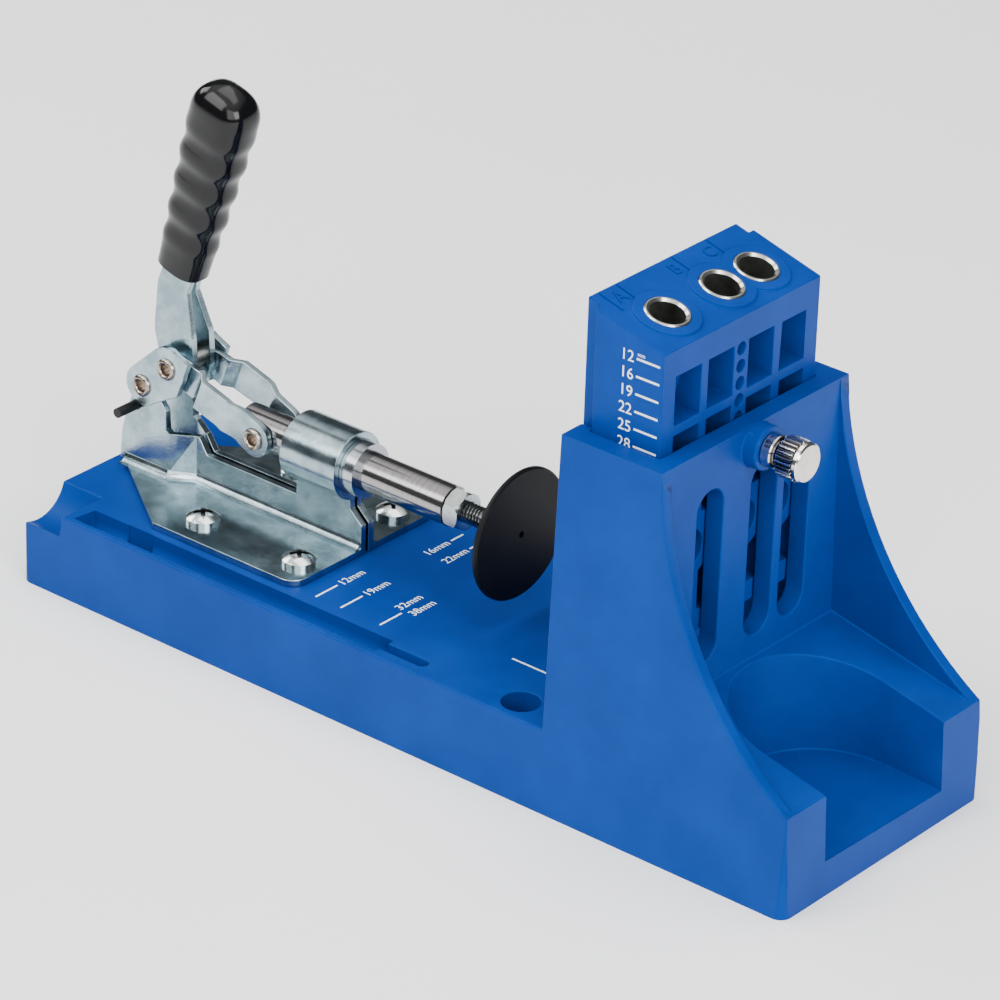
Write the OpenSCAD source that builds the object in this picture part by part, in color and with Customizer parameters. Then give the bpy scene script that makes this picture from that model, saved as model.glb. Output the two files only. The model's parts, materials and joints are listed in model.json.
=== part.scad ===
// Pocket hole jig: a moulded base with a guide tower, a sliding drill guide
// and a push toggle clamp. Lengths are in millimetres, angles in degrees.
// X runs from the clamp end to the chip cup, Z is up, Y = 0 is the middle plane.

/* [Base] */
// Length of the base
base_l = 262; // [258:1:280]
// Width of the base at the foot
base_w = 84; // [82:1:92]
// Height of the deck that carries the workpiece
deck_h = 24; // [22:0.5:28]
// Thickness of the deck over the middle row of cells
deck_t = 3.5; // [2.5:0.5:5]
// Thickness of the outer walls at the foot
wall_t = 3; // [2:0.25:4]
// Thickness of the ribs under the base
rib_t = 2; // [1.5:0.25:3]
// Draft of the long sides
side_draft = 2.1; // [0:0.1:3]
// Draft of the front face
front_draft = 2.7; // [0:0.1:4]
// Radius of the upright corners
corner_r = 3.5; // [1:0.25:6]

/* [Bit gauge] */
// Distance of the gauge groove from the middle plane
groove_y = 35.4; // [34:0.1:35.8]
// Width of the groove
groove_w = 7; // [5:0.25:7.5]
// Width of the narrow end of the groove
groove_tip_w = 3.4; // [2:0.2:5]
// Depth of the groove
groove_depth = 6; // [4:0.25:7]
// Start of the groove from the clamp end
groove_x0 = 18; // [16:0.5:22]
// Place where the groove narrows
groove_x1 = 125; // [110:1:135]
// End of the groove
groove_x2 = 140; // [137:1:150]
// Radius of the collar seat at the end of the groove
seat_r = 10.5; // [9:0.25:11]
// Length of the collar seat
seat_l = 14.5; // [10:0.5:15]
// Place of the window in the floor of the groove
window_x = 31; // [28:0.5:34]
// Length of the window
window_l = 9; // [6:0.5:10]

/* [Mounting holes] */
// Distance of the mounting holes from the clamp end
mount_x = 170; // [166:0.5:174]
// Distance of the mounting holes from the middle plane
mount_y = 33.5; // [32:0.1:34]
// Diameter of the screw hole
mount_d = 5.5; // [4:0.1:6.5]
// Diameter of the counterbore for the screw head
mount_head_d = 10.4; // [8:0.1:11]
// Depth of the counterbore
mount_head_depth = 8; // [4:0.5:10]

/* [Tower] */
// Distance of the tower's clamping face from the clamp end
tower_x = 183; // [180:0.5:190]
// Depth of the tower at the top
tower_d = 32; // [31.5:0.1:34]
// Height of the tower
tower_h = 107; // [104:0.5:112]
// Thickness of the two rails beside the guide's tongue
rail_t = 4.2; // [3:0.1:5]
// Height of the floor of the guide well
well_floor = 26; // [25:0.25:26.5]
// Width of the chip slots in the front wall
slot_w = 10.6; // [8:0.2:11]
// Height of the lower end of the chip slots
slot_z0 = 45.4; // [44:0.2:50]
// Drop of the upper end of the chip slots below the tower top
slot_drop = 12.4; // [12.2:0.2:20]

/* [Chip cup] */
// Width of the cup
cup_w = 49.5; // [44:0.5:52]
// Height of the cup floor
cup_floor = 9.4; // [8:0.2:12]
// Height of the front wall tops
cup_wall_h = 28.6; // [26:0.2:32]
// Height of the sloping shelf at the foot of the tower
shelf_h = 39.1; // [36:0.1:42]
// Distance from the front face to the centre of the round cup wall
cup_back = 20.6; // [18:0.1:21.5]
// Radius of the sweep of the side gussets
gusset_r = 99.4; // [90:0.2:130]
// Thickness of the side gussets
gusset_t = 3.6; // [2.5:0.1:5]

/* [Drill guide] */
// Width of the guide block
guide_w = 63.4; // [62:0.2:65]
// Width of the guide's tongue between the rails
tongue_w = 59.2; // [56:0.2:60]
// Depth of the guide from the clamping face to its front
guide_d = 26; // [25.5:0.1:26.4]
// Rise of the guide's front top edge above the tower at the set height
guide_rise = 27.7; // [25:0.1:30]
// Height of the guide block at its front
guide_h = 83.5; // [82:0.1:84]
// Angle between the drill axis and the upright
drill_tilt = 15; // [14:0.1:15.5]
// Distance of the drill axes from the clamping face at the top
bush_x = 15.4; // [15:0.1:15.8]
// Place of the first bush across the guide
bush_a = -17.4; // [-18:0.1:-16.5]
// Spacing of the first and second bush
bush_ab = 21.9; // [21:0.1:22.5]
// Spacing of the second and third bush
bush_bc = 14; // [13.6:0.1:14.6]
// Diameter of the bush bores
bush_bore = 9.6; // [9.2:0.1:9.8]
// Outer diameter of the bushes
bush_od = 12.2; // [11.8:0.1:12.6]
// Length of the bushes
bush_l = 34; // [24:1:38]
// Outer diameter of the raised lands round the bushes
land_d = 18; // [15:0.2:19]
// Height of the raised lands
land_h = 0.7; // [0.4:0.1:1.2]
// Clearance between the guide and its well
guide_clear = 0.3; // [0.15:0.05:0.5]
// Spacing of the detent holes
detent_pitch = 4.8; // [4.4:0.1:6]
// Diameter of the detent holes
detent_d = 3.4; // [2.6:0.1:4]
// Drop of the detent row below the guide's front top edge
detent_drop = 9.1; // [8.5:0.1:11]

/* [Thumb screw] */
// Drop of the thumb screw below the tower top
screw_drop = 5.7; // [5.2:0.1:6]
// Diameter of the thumb screw shank
screw_d = 5; // [4:0.25:6]
// Diameter of the knurled knob
knob_d = 11; // [9:0.25:14]
// Length of the knurled knob
knob_l = 7.6; // [5:0.2:10]
// Diameter of the boss round the insert
boss_d = 12; // [11:0.2:12.8]
// Length of the boss
boss_l = 4.2; // [2:0.2:6]
// Gap between the screw tip and the guide
tip_gap = 0.6; // [0.4:0.1:1]

/* [Clamp frame] */
// Thickness of the frame sheet
sheet_t = 2; // [1.5:0.1:2.2]
// Distance of the frame's rear end from the clamp end
frame_x0 = 4; // [3:0.5:6]
// Distance of the frame's front end from the clamp end
frame_x1 = 88.4; // [86:0.2:92]
// Width of the two flanges together
flange_w = 58.4; // [54:0.2:60]
// Length of the slanted rear edge of the flanges
flange_cut = 33; // [25:0.5:35]
// Radius of the flange bends
bend_r = 3; // [1.5:0.25:4]
// Height of the rod axis above the deck
rod_rise = 24.8; // [24:0.1:27]
// Rear end of the collar
collar_x0 = 65; // [64.6:0.1:66]
// Length of the collar
collar_l = 19.4; // [16:0.1:22]
// Gap between the two front webs
web_gap = 1; // [0.6:0.1:1.6]
// Distance of the rear screws from the clamp end
frame_screw_x0 = 46.3; // [44:0.1:48]
// Distance of the front screws from the clamp end
frame_screw_x1 = 81; // [79:0.1:82]
// Distance of the frame screws from the middle plane
frame_screw_y = 19.1; // [18:0.1:20]
// Diameter of the frame screws
frame_screw_d = 4.8; // [4:0.1:5]

/* [Toggle] */
// Distance of the handle pivot from the clamp end
pivot_x = 14.1; // [13:0.1:15]
// Height of the handle pivot above the rod axis
pivot_rise = 3.2; // [2:0.1:4]
// Distance between the handle pivot and the crank rivet
crank_r = 11.9; // [11.4:0.1:12.4]
// Angle of the crank above the level at rest
crank_deg = 41; // [38:1:44]
// Length of the links between their rivets
link_l = 32.5; // [32:0.1:33]
// Width of the links
link_w = 9.2; // [8:0.2:9.8]
// Outward bow of the links
link_bow = 1.8; // [1:0.1:2.4]
// Diameter of the rivet shanks
rivet_d = 4.2; // [3.6:0.1:4.6]
// Diameter of the rivet heads
rivet_head_d = 6.4; // [5.8:0.1:7.4]
// Side clearance between the moving plates
plate_gap = 0.2; // [0.15:0.05:0.3]
// Inner half width of the handle strap
strap_in = 2.4; // [2:0.1:2.6]

/* [Handle grip] */
// Width of the grip across the strap
grip_w = 19; // [17:0.2:21]
// Thickness of the grip
grip_t = 15; // [13:0.2:17]
// Length of the grip
grip_l = 60.5; // [56:0.5:66]
// Height of the finger ridges
ridge_h = 0.5; // [0.3:0.05:0.8]
// Forward lean of the grip
grip_lean = 16.5; // [12:0.5:20]

/* [Plunger] */
// Diameter of the plunger rod
rod_d = 11.2; // [10.6:0.1:11.6]
// Front end of the rod from the clamp end
rod_x1 = 118; // [114:0.5:120]
// Length of the rod behind the link rivet
rod_tail = 7.4; // [6:0.1:8]
// Distance between the flats at the rear end of the rod
rod_flats = 10.6; // [10:0.1:10.8]
// Running clearance of the rod in its bush
rod_clear = 0.06; // [0.03:0.01:0.1]
// Wall of the plunger bush
plunger_bush_t = 2; // [1.5:0.1:2.4]
// Length that the bush stands out of the collar
bush_proud = 4.6; // [2:0.2:6]

/* [Pad] */
// Front face of the pad from the clamp end
pad_x = 141.3; // [139:0.1:144]
// Diameter of the pad
pad_d = 37; // [32:0.5:40]
// Thickness of the pad at the rim
pad_rim = 1.6; // [1:0.1:2.5]
// Diameter of the spindle
spindle_d = 6; // [5:0.1:6.4]
// Distance across the flats of the lock nut
nut_af = 10; // [9.4:0.1:11]
// Thickness of the lock nut
nut_t = 5; // [4:0.2:6]

/* [Hidden] */
$fn = 64;
eps = 0.01;

// Shared places, all with the clamp end at X = 0
tower_front = tower_x + tower_d;
guide_front = tower_x + guide_d;
slot_z1 = tower_h - slot_drop;
screw_z = tower_h - screw_drop;
guide_top = tower_h + guide_rise;
guide_bottom = guide_top - guide_h;
shelf_slope = (shelf_h - cup_wall_h) / (base_l - tower_front);
rod_z = deck_h + rod_rise;
pivot = [pivot_x, rod_z + pivot_rise];
crank = pivot + crank_r * [cos(crank_deg), sin(crank_deg)];
link_rise = crank[1] - rod_z;
link_deg = asin(link_rise / link_l);
wrist_x = crank[0] + link_l * cos(link_deg);
bushes = [bush_a, bush_a + bush_ab, bush_a + bush_ab + bush_bc];
guide_back = tower_x + 0.2;
guide_slope = tan(drill_tilt);

// Layers of the toggle, as distances from the middle plane
strap_out = strap_in + sheet_t;
link_in = strap_out + plate_gap;
link_out = link_in + sheet_t;
cheek_in = link_out + plate_gap;
cheek_out = cheek_in + sheet_t;
eye_in = rod_flats / 2 + plate_gap;
eye_out = eye_in + sheet_t;

// Draws a flat shape of (y, z) points along X
module along_x(x0, x1) {
    translate([x0, 0, 0]) rotate([90, 0, 90]) linear_extrude(x1 - x0) children();
}

// Draws a flat shape of (x, z) points along Y
module along_y(y0, y1) {
    translate([0, y1, 0]) rotate([90, 0, 0]) linear_extrude(y1 - y0) children();
}

// Round bar along X
module bar_x(x0, x1, r) {
    translate([x0, 0, 0]) rotate([0, 90, 0]) cylinder(h = x1 - x0, r = r);
}

// Round bar along Y through a point of the (x, z) plane
module bar_y(p, y0, y1, r) {
    translate([p[0], y0, p[1]]) rotate([-90, 0, 0]) cylinder(h = y1 - y0, r = r);
}

// Outline round two circles, with straight tangents
module tangent_pair(p, rp, q, rq) {
    d = q - p;
    len = norm(d);
    dir = atan2(d[1], d[0]);
    a = acos((rp - rq) / len);
    up = [cos(dir + a), sin(dir + a)];
    down = [cos(dir - a), sin(dir - a)];
    translate(p) circle(rp);
    translate(q) circle(rq);
    polygon([p + rp * up, p + rp * down, q + rq * down, q + rq * up]);
}

// Moves a piece from the clamp end frame to the middle of the base
module placed() {
    translate([-base_l / 2, 0, 0]) children();
}

// Base moulding

function side_in(z) = z * tan(side_draft);
function half_w(z) = base_w / 2 - side_in(z);

// Side view of the base without its hollows
module base_side_view() {
    front_top = [base_l - cup_wall_h * tan(front_draft), cup_wall_h];
    tower_top = [tower_front, tower_h];
    chord = tower_top - front_top;
    reach = sqrt(pow(gusset_r, 2) - pow(norm(chord) / 2, 2));
    out = [chord[1], -chord[0]] / norm(chord);
    difference() {
        polygon([
            [0, 0], [base_l, 0], front_top, tower_top,
            [tower_x, tower_h], [tower_x, deck_h], [0, deck_h]
        ]);
        translate((front_top + tower_top) / 2 + reach * out) circle(gusset_r, $fn = 200);
    }
}

// End view of the drafted sides, set in by a wall
module base_end_view(inset = 0) {
    top = tower_h + 5;
    polygon([
        [-half_w(0) + inset, -eps], [half_w(0) - inset, -eps],
        [half_w(top) - inset, top], [-half_w(top) + inset, top]
    ]);
}

module base_plan() {
    translate([corner_r, corner_r - base_w / 2]) square([base_l - 2 * corner_r, base_w - 2 * corner_r]);
    translate([0, corner_r - base_w / 2]) square([base_l, base_w - 2 * corner_r]);
    translate([corner_r, -base_w / 2]) square([base_l - 2 * corner_r, base_w]);
    for (x = [corner_r, base_l - corner_r], y = [-1, 1]) {
        translate([x, y * (base_w / 2 - corner_r)]) circle(corner_r);
    }
}

module base_outside() {
    intersection() {
        along_y(-base_w / 2, base_w / 2) base_side_view();
        along_x(-eps, base_l + eps) base_end_view();
        linear_extrude(tower_h + 1) base_plan();
    }
}

// Space between the gussets, above the sloping shelf
module shelf_space() {
    past = 2;
    intersection() {
        along_y(-base_w / 2, base_w / 2) polygon([
            [tower_front, shelf_h],
            [base_l + past, cup_wall_h - past * shelf_slope],
            [base_l + past, tower_h + past],
            [tower_front, tower_h + past]
        ]);
        along_x(tower_front, base_l + past) base_end_view(gusset_t);
    }
}

module chip_cup() {
    past = 2;
    translate([base_l - cup_back, 0, cup_floor]) {
        cylinder(h = shelf_h, d = cup_w);
        translate([0, -cup_w / 2, 0]) cube([cup_back + past, cup_w, shelf_h]);
    }
}

// Well for the guide, open to the clamping face between the rails
module guide_well() {
    w = guide_w / 2 + guide_clear;
    t = tongue_w / 2 + guide_clear;
    h = tower_h - well_floor + 1;
    x0 = tower_x + rail_t;
    translate([x0, -w, well_floor]) cube([guide_front + guide_clear - x0, 2 * w, h]);
    translate([tower_x - 1, -t, well_floor]) cube([rail_t + 2, 2 * t, h]);
}

module chip_slots() {
    r = slot_w / 2;
    for (y = bushes) {
        along_x(guide_front - 1, tower_front + 1) tangent_pair([y, slot_z0 + r], r, [y, slot_z1 - r], r);
    }
}

// Groove that holds a drill bit while its stop collar is set
module bit_gauge() {
    floor_z = deck_h - groove_depth;
    tip_z = deck_h - groove_depth * 0.6;
    tip_x = groove_x2 - groove_tip_w / 2;
    translate([0, -groove_y, 0]) {
        along_x(groove_x0, groove_x1) tangent_pair(
            [0, floor_z + groove_w / 2], groove_w / 2, [0, deck_h + groove_w], groove_w / 2
        );
        translate([groove_x1 - 1, -groove_tip_w / 2, tip_z]) {
            cube([tip_x - groove_x1 + 1, groove_tip_w, groove_depth]);
        }
        translate([tip_x, 0, tip_z]) cylinder(h = groove_depth, d = groove_tip_w);
        translate([window_x, -groove_w * 0.3, -1]) cube([window_l, groove_w * 0.83, deck_h + 2]);
    }
    translate([0, -groove_y, deck_h + seat_r * 0.26]) bar_x(-1, seat_l, seat_r);
}

module mounting_holes() {
    for (y = [-mount_y, mount_y]) {
        translate([mount_x, y, -1]) cylinder(h = deck_h + 2, d = mount_d);
        translate([mount_x, y, deck_h - mount_head_depth]) cylinder(h = deck_h, d = mount_head_d);
    }
}

// Hollow cells between the ribs, open at the foot
cell_rows = 3;
deck_cells = 7;
outer_cell_top = deck_h - groove_depth - deck_t;

module cell_row(x0, x1, n, tops) {
    pitch = (x1 - x0 + rib_t) / n;
    room = base_w - 2 * wall_t - 2 * side_in(outer_cell_top);
    pitch_y = (room + rib_t) / cell_rows;
    for (i = [0 : n - 1], j = [0 : cell_rows - 1]) {
        top = tops[j == 1 ? 1 : 0];
        translate([x0 + i * pitch, j * pitch_y - room / 2, -1]) {
            cube([pitch - rib_t, pitch_y - rib_t, top + 1]);
        }
    }
}

module underside_cells() {
    tower_cell_top = well_floor - deck_t;
    cup_cell_top = cup_floor - deck_t;
    difference() {
        union() {
            cell_row(wall_t, tower_x - rib_t, deck_cells, [outer_cell_top, deck_h - deck_t]);
            cell_row(tower_x, tower_front - rib_t, 1, [outer_cell_top, tower_cell_top]);
            cell_row(tower_front, base_l - wall_t - 1, 2, [cup_cell_top, cup_cell_top]);
        }
        frame_screw_places() {
            translate([0, 0, nut_seat_z - nut_pocket_t]) cylinder(h = deck_h, d = boss_hole_d);
        }
        for (y = [-mount_y, mount_y]) {
            translate([mount_x, y, 0]) cylinder(h = deck_h, d = mount_head_d + 2 * rib_t);
        }
    }
}

// Screws that hold the clamp frame, with nuts in pockets under the deck
frame_nut_af = 8;
frame_nut_t = 4;
nut_pocket_t = 4.4;
nut_seat_z = outer_cell_top;
boss_hole_d = 13;
frame_hole_d = frame_screw_d + 0.5;
screw_head_d = 9.4;
screw_head_h = 3;

module frame_screw_places() {
    for (x = [frame_screw_x0, frame_screw_x1], y = [-frame_screw_y, frame_screw_y]) {
        translate([x, y, 0]) children();
    }
}

module frame_screw_holes() {
    frame_screw_places() {
        translate([0, 0, -1]) cylinder(h = deck_h + 2, d = frame_hole_d);
        translate([0, 0, nut_seat_z - nut_pocket_t - 1]) {
            cylinder(h = nut_pocket_t + 1, d = (frame_nut_af + 0.3) / cos(30), $fn = 6);
        }
    }
}

// Boss and bore for the threaded insert of the thumb screw
insert_d = 7.6;
insert_clear = 0.05;

module base_moulding() {
    color("royalblue") placed() difference() {
        union() {
            difference() {
                base_outside();
                shelf_space();
                chip_cup();
            }
            translate([0, 0, screw_z]) bar_x(tower_front - 1, tower_front + boss_l, boss_d / 2);
        }
        guide_well();
        chip_slots();
        bit_gauge();
        mounting_holes();
        underside_cells();
        frame_screw_holes();
        translate([0, 0, screw_z]) {
            bar_x(guide_front - 1, tower_front + boss_l + 1, insert_d / 2 + insert_clear);
        }
    }
}

// Thumb screw and its insert

module thumb_screw_insert() {
    x0 = guide_front + guide_clear;
    color("goldenrod") placed() translate([0, 0, screw_z]) difference() {
        bar_x(x0, tower_front + boss_l, insert_d / 2);
        bar_x(x0 - 1, tower_front + boss_l + 1, screw_d / 2 + insert_clear);
    }
}

module thumb_screw() {
    neck_l = 3;
    neck_d = knob_d * 0.82;
    groove_l = 1.4;
    x0 = tower_front + boss_l + plate_gap;
    tip_l = 3;
    tip_x = guide_front + tip_gap;
    color("silver") placed() translate([0, 0, screw_z]) {
        bar_x(tip_x + tip_l, x0 + 1, screw_d / 2);
        bar_x(tip_x, tip_x + tip_l, detent_d / 2 - 0.3);
        bar_x(x0, x0 + neck_l, neck_d / 2);
        bar_x(x0 + neck_l - eps, x0 + neck_l + groove_l, neck_d / 2 - 0.9);
        translate([x0 + neck_l + groove_l - eps, 0, 0]) rotate([0, 90, 0]) rotate_extrude() polygon([
            [0, 0], [knob_d / 2 - 0.6, 0], [knob_d / 2, 0.6],
            [knob_d / 2, knob_l - 0.8], [knob_d / 2 - 0.8, knob_l], [0, knob_l]
        ]);
    }
}

// Drill guide

function guide_top_at(x) = guide_top + (guide_front - x) * guide_slope;

// Puts a piece on the drill axis of one bush, with Z along the axis
module on_drill_axis(y) {
    x = tower_x + bush_x;
    translate([x, y, guide_top_at(x)]) rotate([0, drill_tilt, 0]) children();
}

module guide_side_view(x0, x1) {
    polygon([
        [x0, guide_bottom], [x1, guide_bottom], [x1, guide_top_at(x1)], [x0, guide_top_at(x0)]
    ]);
}

// Pockets in the front of the guide: four columns, with a middle bar for the detents
guide_side_t = 5.4;
guide_rib_t = 2.9;
guide_bar_w = 6;
pocket_rib = 2.8;
pocket_h = 13.5;
foot_rib_t = 6;
port_rib_t = 4;
port_d = 10.4;
port_wall = 3.4;
port_rise = 24.8;
port_z = guide_bottom + port_rise;
pocket_first = 7.6;
pocket_floor = 5.5;
bush_wall = 2;
pocket_w = (guide_w - 2 * guide_side_t - 2 * guide_rib_t - guide_bar_w) / 4;
first_z = guide_top - pocket_first;
port_rib_z = port_z + port_d / 2;

// Bottom and top of each row of pockets
pocket_rows = [
    [first_z - pocket_h, first_z],
    [first_z - 2 * pocket_h - pocket_rib, first_z - pocket_h - pocket_rib],
    [port_rib_z + port_rib_t, first_z - 2 * (pocket_h + pocket_rib)],
    [guide_bottom + foot_rib_t, port_rib_z]
];

module guide_pockets() {
    inner = guide_bar_w / 2;
    outer = inner + pocket_w + guide_rib_t;
    x0 = tower_x + pocket_floor;
    difference() {
        for (side = [-1, 1], start = [inner, outer], row = pocket_rows) {
            y = side > 0 ? start : -start - pocket_w;
            translate([x0, y, row[0]]) cube([guide_d, pocket_w, row[1] - row[0]]);
        }
        for (y = bushes) {
            on_drill_axis(y) translate([0, 0, -2 * guide_top]) {
                cylinder(h = 2 * guide_top, d = bush_od + 2 * bush_wall);
            }
            translate([0, y, port_z]) bar_x(tower_x, guide_front + 1, port_d / 2 + port_wall);
        }
    }
}

// Chip ports from the foot of each drill bore to the front
module chip_ports() {
    start_x = guide_back + 3;
    for (y = bushes) translate([0, y, port_z]) bar_x(start_x, guide_front + 1, port_d / 2);
}

detent_count = 9;

module detent_holes() {
    depth = 4;
    for (i = [0 : detent_count - 1]) {
        translate([0, 0, guide_top - detent_drop - i * detent_pitch]) {
            bar_x(guide_front - depth, guide_front + 1, detent_d / 2);
        }
    }
}

// Low ridges on the sloping top, one beside each letter place
module top_ridges() {
    ridge_w = 0.7;
    ridge_l = 8;
    for (y = [bush_a - 9, for (b = bushes) b - 2.2]) {
        translate([guide_back + 0.6, y, guide_top_at(guide_back + 0.6)]) {
            rotate([0, drill_tilt, 0]) translate([0, 0, -0.5]) cube([ridge_l, ridge_w, 0.9]);
        }
    }
}

module guide_block() {
    step_x = tower_x + rail_t + guide_clear;
    color("royalblue") placed() difference() {
        union() {
            along_y(-guide_w / 2, guide_w / 2) guide_side_view(step_x, guide_front);
            along_y(-tongue_w / 2, tongue_w / 2) guide_side_view(guide_back, step_x + 1);
            for (y = bushes) on_drill_axis(y) translate([0, 0, -1]) cylinder(h = 1 + land_h, d = land_d);
            top_ridges();
        }
        guide_pockets();
        chip_ports();
        detent_holes();
        for (y = bushes) on_drill_axis(y) {
            translate([0, 0, land_h - bush_l]) cylinder(h = bush_l + 1, d = bush_od);
            translate([0, 0, -2 * guide_top]) cylinder(h = 2 * guide_top, d = bush_bore + 0.4);
        }
    }
}

// Steel drill bush with a lead-in chamfer
module guide_bush(y) {
    lead = 0.6;
    proud = 0.3;
    color("silver") placed() on_drill_axis(y) translate([0, 0, land_h - bush_l]) rotate_extrude() polygon([
        [bush_bore / 2, 0], [bush_od / 2, 0], [bush_od / 2, bush_l + proud - lead / 2],
        [bush_od / 2 - lead / 2, bush_l + proud], [bush_bore / 2 + lead, bush_l + proud],
        [bush_bore / 2, bush_l + proud - lead]
    ]);
}

module guide_bush_a() guide_bush(bushes[0]);
module guide_bush_b() guide_bush(bushes[1]);
module guide_bush_c() guide_bush(bushes[2]);

// Clamp frame, one folded sheet

ear_r = 4;
upright_x0 = frame_x0 + 0.6;
upright_x1 = 21;
rear_web_h = 15.2;
front_web_h = 10.6;
joggle_x0 = upright_x1 + 1.4;
joggle_x1 = joggle_x0 + 6.5;
drop_x0 = joggle_x1 + 0.6;
drop_x1 = drop_x0 + 3;
front_web_in = web_gap / 2;
front_web_out = front_web_in + sheet_t;
collar_in = rod_d / 2 + rod_clear + plunger_bush_t;
collar_out = collar_in + sheet_t;
collar_x1 = collar_x0 + collar_l;

// Concave round between a web and its flange, sunk a little into both
module bend_fillet() {
    sunk = 0.3;
    difference() {
        translate([-sunk, -sunk]) square(bend_r + sunk);
        translate([bend_r, bend_r]) circle(bend_r + 0.1);
    }
}

module flange_plan() {
    round_r = 5;
    w = flange_w / 2;
    mid = sheet_t / 2;
    polygon([
        [frame_x0, link_in + mid], [frame_x0 + flange_cut, w],
        for (a = [90 : -15 : 0]) [frame_x1 - round_r * (1 - cos(a)), w - round_r * (1 - sin(a))],
        [frame_x1, front_web_in + mid], [joggle_x1, front_web_in + mid], [joggle_x0, link_in + mid]
    ]);
}

// Plan of one web, from the rear upright through the joggle to the front
module web_plan() {
    inner = [
        [frame_x0, link_in], [joggle_x0, link_in], [joggle_x1, front_web_in], [frame_x1, front_web_in]
    ];
    polygon([for (i = [0 : 3]) inner[i], for (i = [3 : -1 : 0]) inner[i] + [0, sheet_t]]);
}

// Side view of one web with its ear, in (x, z)
module web_side_view() {
    rear = deck_h + rear_web_h;
    front = deck_h + front_web_h;
    lap = ear_r * 0.97;
    translate(pivot) circle(ear_r);
    polygon([
        [frame_x0, deck_h], [frame_x1, deck_h], [frame_x1, front - 1.6], [collar_x1, front + 2],
        [collar_x1, rod_z], [collar_x0, rod_z], [collar_x0, front], [drop_x1, front],
        [drop_x0, rear], [upright_x1 + 1, rear], [upright_x1, rear + 1], [upright_x1, pivot[1] - 6.4],
        pivot + lap * [cos(-30), sin(-30)], pivot + lap * [cos(160), sin(160)],
        [upright_x0 + 0.8, deck_h + 14], [upright_x0, deck_h + 11], [frame_x0, deck_h + 4]
    ]);
}

module frame_half() {
    run = [joggle_x1 - joggle_x0, front_web_in - link_in];
    top = deck_h + sheet_t;
    translate([0, 0, deck_h]) linear_extrude(sheet_t) flange_plan();
    intersection() {
        linear_extrude(tower_h) web_plan();
        along_y(0, flange_w) web_side_view();
    }
    translate([0, link_out, top]) along_x(frame_x0 + 2, joggle_x0) bend_fillet();
    translate([joggle_x0, link_out, top]) rotate([0, 0, atan2(run[1], run[0])]) {
        along_x(-0.5, norm(run) + 0.5) bend_fillet();
    }
    translate([0, front_web_out, top]) along_x(joggle_x1, frame_x1 - 0.4) bend_fillet();
}

module clamp_frame() {
    color("lightsteelblue") placed() difference() {
        union() {
            frame_half();
            mirror([0, 1, 0]) frame_half();
            translate([0, 0, rod_z]) bar_x(collar_x0, collar_x1, collar_out);
        }
        translate([0, 0, rod_z]) bar_x(collar_x0 - 1, collar_x1 + 1, collar_in);
        translate([collar_x0 - 1, -front_web_in, deck_h]) cube([collar_l + 2, web_gap, rod_rise]);
        frame_screw_places() translate([0, 0, deck_h - 1]) cylinder(h = sheet_t + 2, d = frame_hole_d);
        bar_y(pivot, -30, 30, rivet_d / 2 + 0.05);
        bar_y(stop_pin_at, -30, 30, stop_pin_d / 2);
    }
}

module plunger_bush() {
    color("silver") placed() translate([0, 0, rod_z]) difference() {
        bar_x(collar_x0, collar_x1 + bush_proud, collar_in);
        bar_x(collar_x0 - 1, collar_x1 + bush_proud + 1, rod_d / 2 + rod_clear);
    }
}

// Pan head screw with a cross recess
module frame_screws() {
    tip_z = nut_seat_z - nut_pocket_t;
    recess_w = 1.2;
    recess_l = 5;
    head_z = deck_h + sheet_t;
    crown_h = screw_head_h * 0.55;
    dome_r = (pow(screw_head_d / 2, 2) + pow(crown_h, 2)) / (2 * crown_h);
    color("gainsboro") placed() frame_screw_places() difference() {
        union() {
            translate([0, 0, tip_z]) cylinder(h = head_z - tip_z + 1, d = frame_screw_d);
            translate([0, 0, head_z]) intersection() {
                cylinder(h = screw_head_h, d = screw_head_d);
                translate([0, 0, screw_head_h - dome_r]) sphere(dome_r);
            }
        }
        for (a = [45, 135]) {
            rotate([0, 0, a]) translate([-recess_l / 2, -recess_w / 2, head_z + screw_head_h - 1.6]) {
                cube([recess_l, recess_w, 2]);
            }
        }
    }
}

module frame_nuts() {
    z0 = nut_seat_z - frame_nut_t;
    color("gainsboro") placed() frame_screw_places() translate([0, 0, z0]) difference() {
        cylinder(h = frame_nut_t, d = frame_nut_af / cos(30), $fn = 6);
        translate([0, 0, -1]) cylinder(h = frame_nut_t + 2, d = frame_screw_d);
    }
}

// Stop pin through both uprights, behind the pivot
stop_pin_d = 2.8;
stop_pin_at = pivot + [-4.2, -8];

module stop_pin() {
    near_end = -cheek_out - 5.4;
    far_end = link_out + 1.5;
    color("black") placed() bar_y(stop_pin_at, near_end, far_end, stop_pin_d / 2);
}

// Handle strap, cheek plates, rivets and grip

strap_knee = pivot + [5.3, 29];
strap_lap = crank + [-1.5, 8.4];
strap_half = 5.3;
strap_lap_r = 6.9;
pivot_lobe_r = 5.2;
crank_lobe_r = 6;
spread_rise = 10;
grip_start = 6.4;
tang_l = 50;
tang_in = 0.1;
tang_out = tang_in + sheet_t;
grip_dir = [sin(grip_lean), cos(grip_lean)];
strap_end = strap_knee + tang_l * grip_dir;

// Handle side view: one lobe round each rivet, a shank and the straight tang
module strap_side_view() {
    tangent_pair(pivot, pivot_lobe_r, crank, crank_lobe_r);
    tangent_pair(crank, crank_lobe_r, strap_lap, strap_lap_r);
    tangent_pair(strap_lap, strap_lap_r, strap_knee, strap_half);
    tangent_pair(strap_knee, strap_half, strap_end, strap_half);
}

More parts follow.
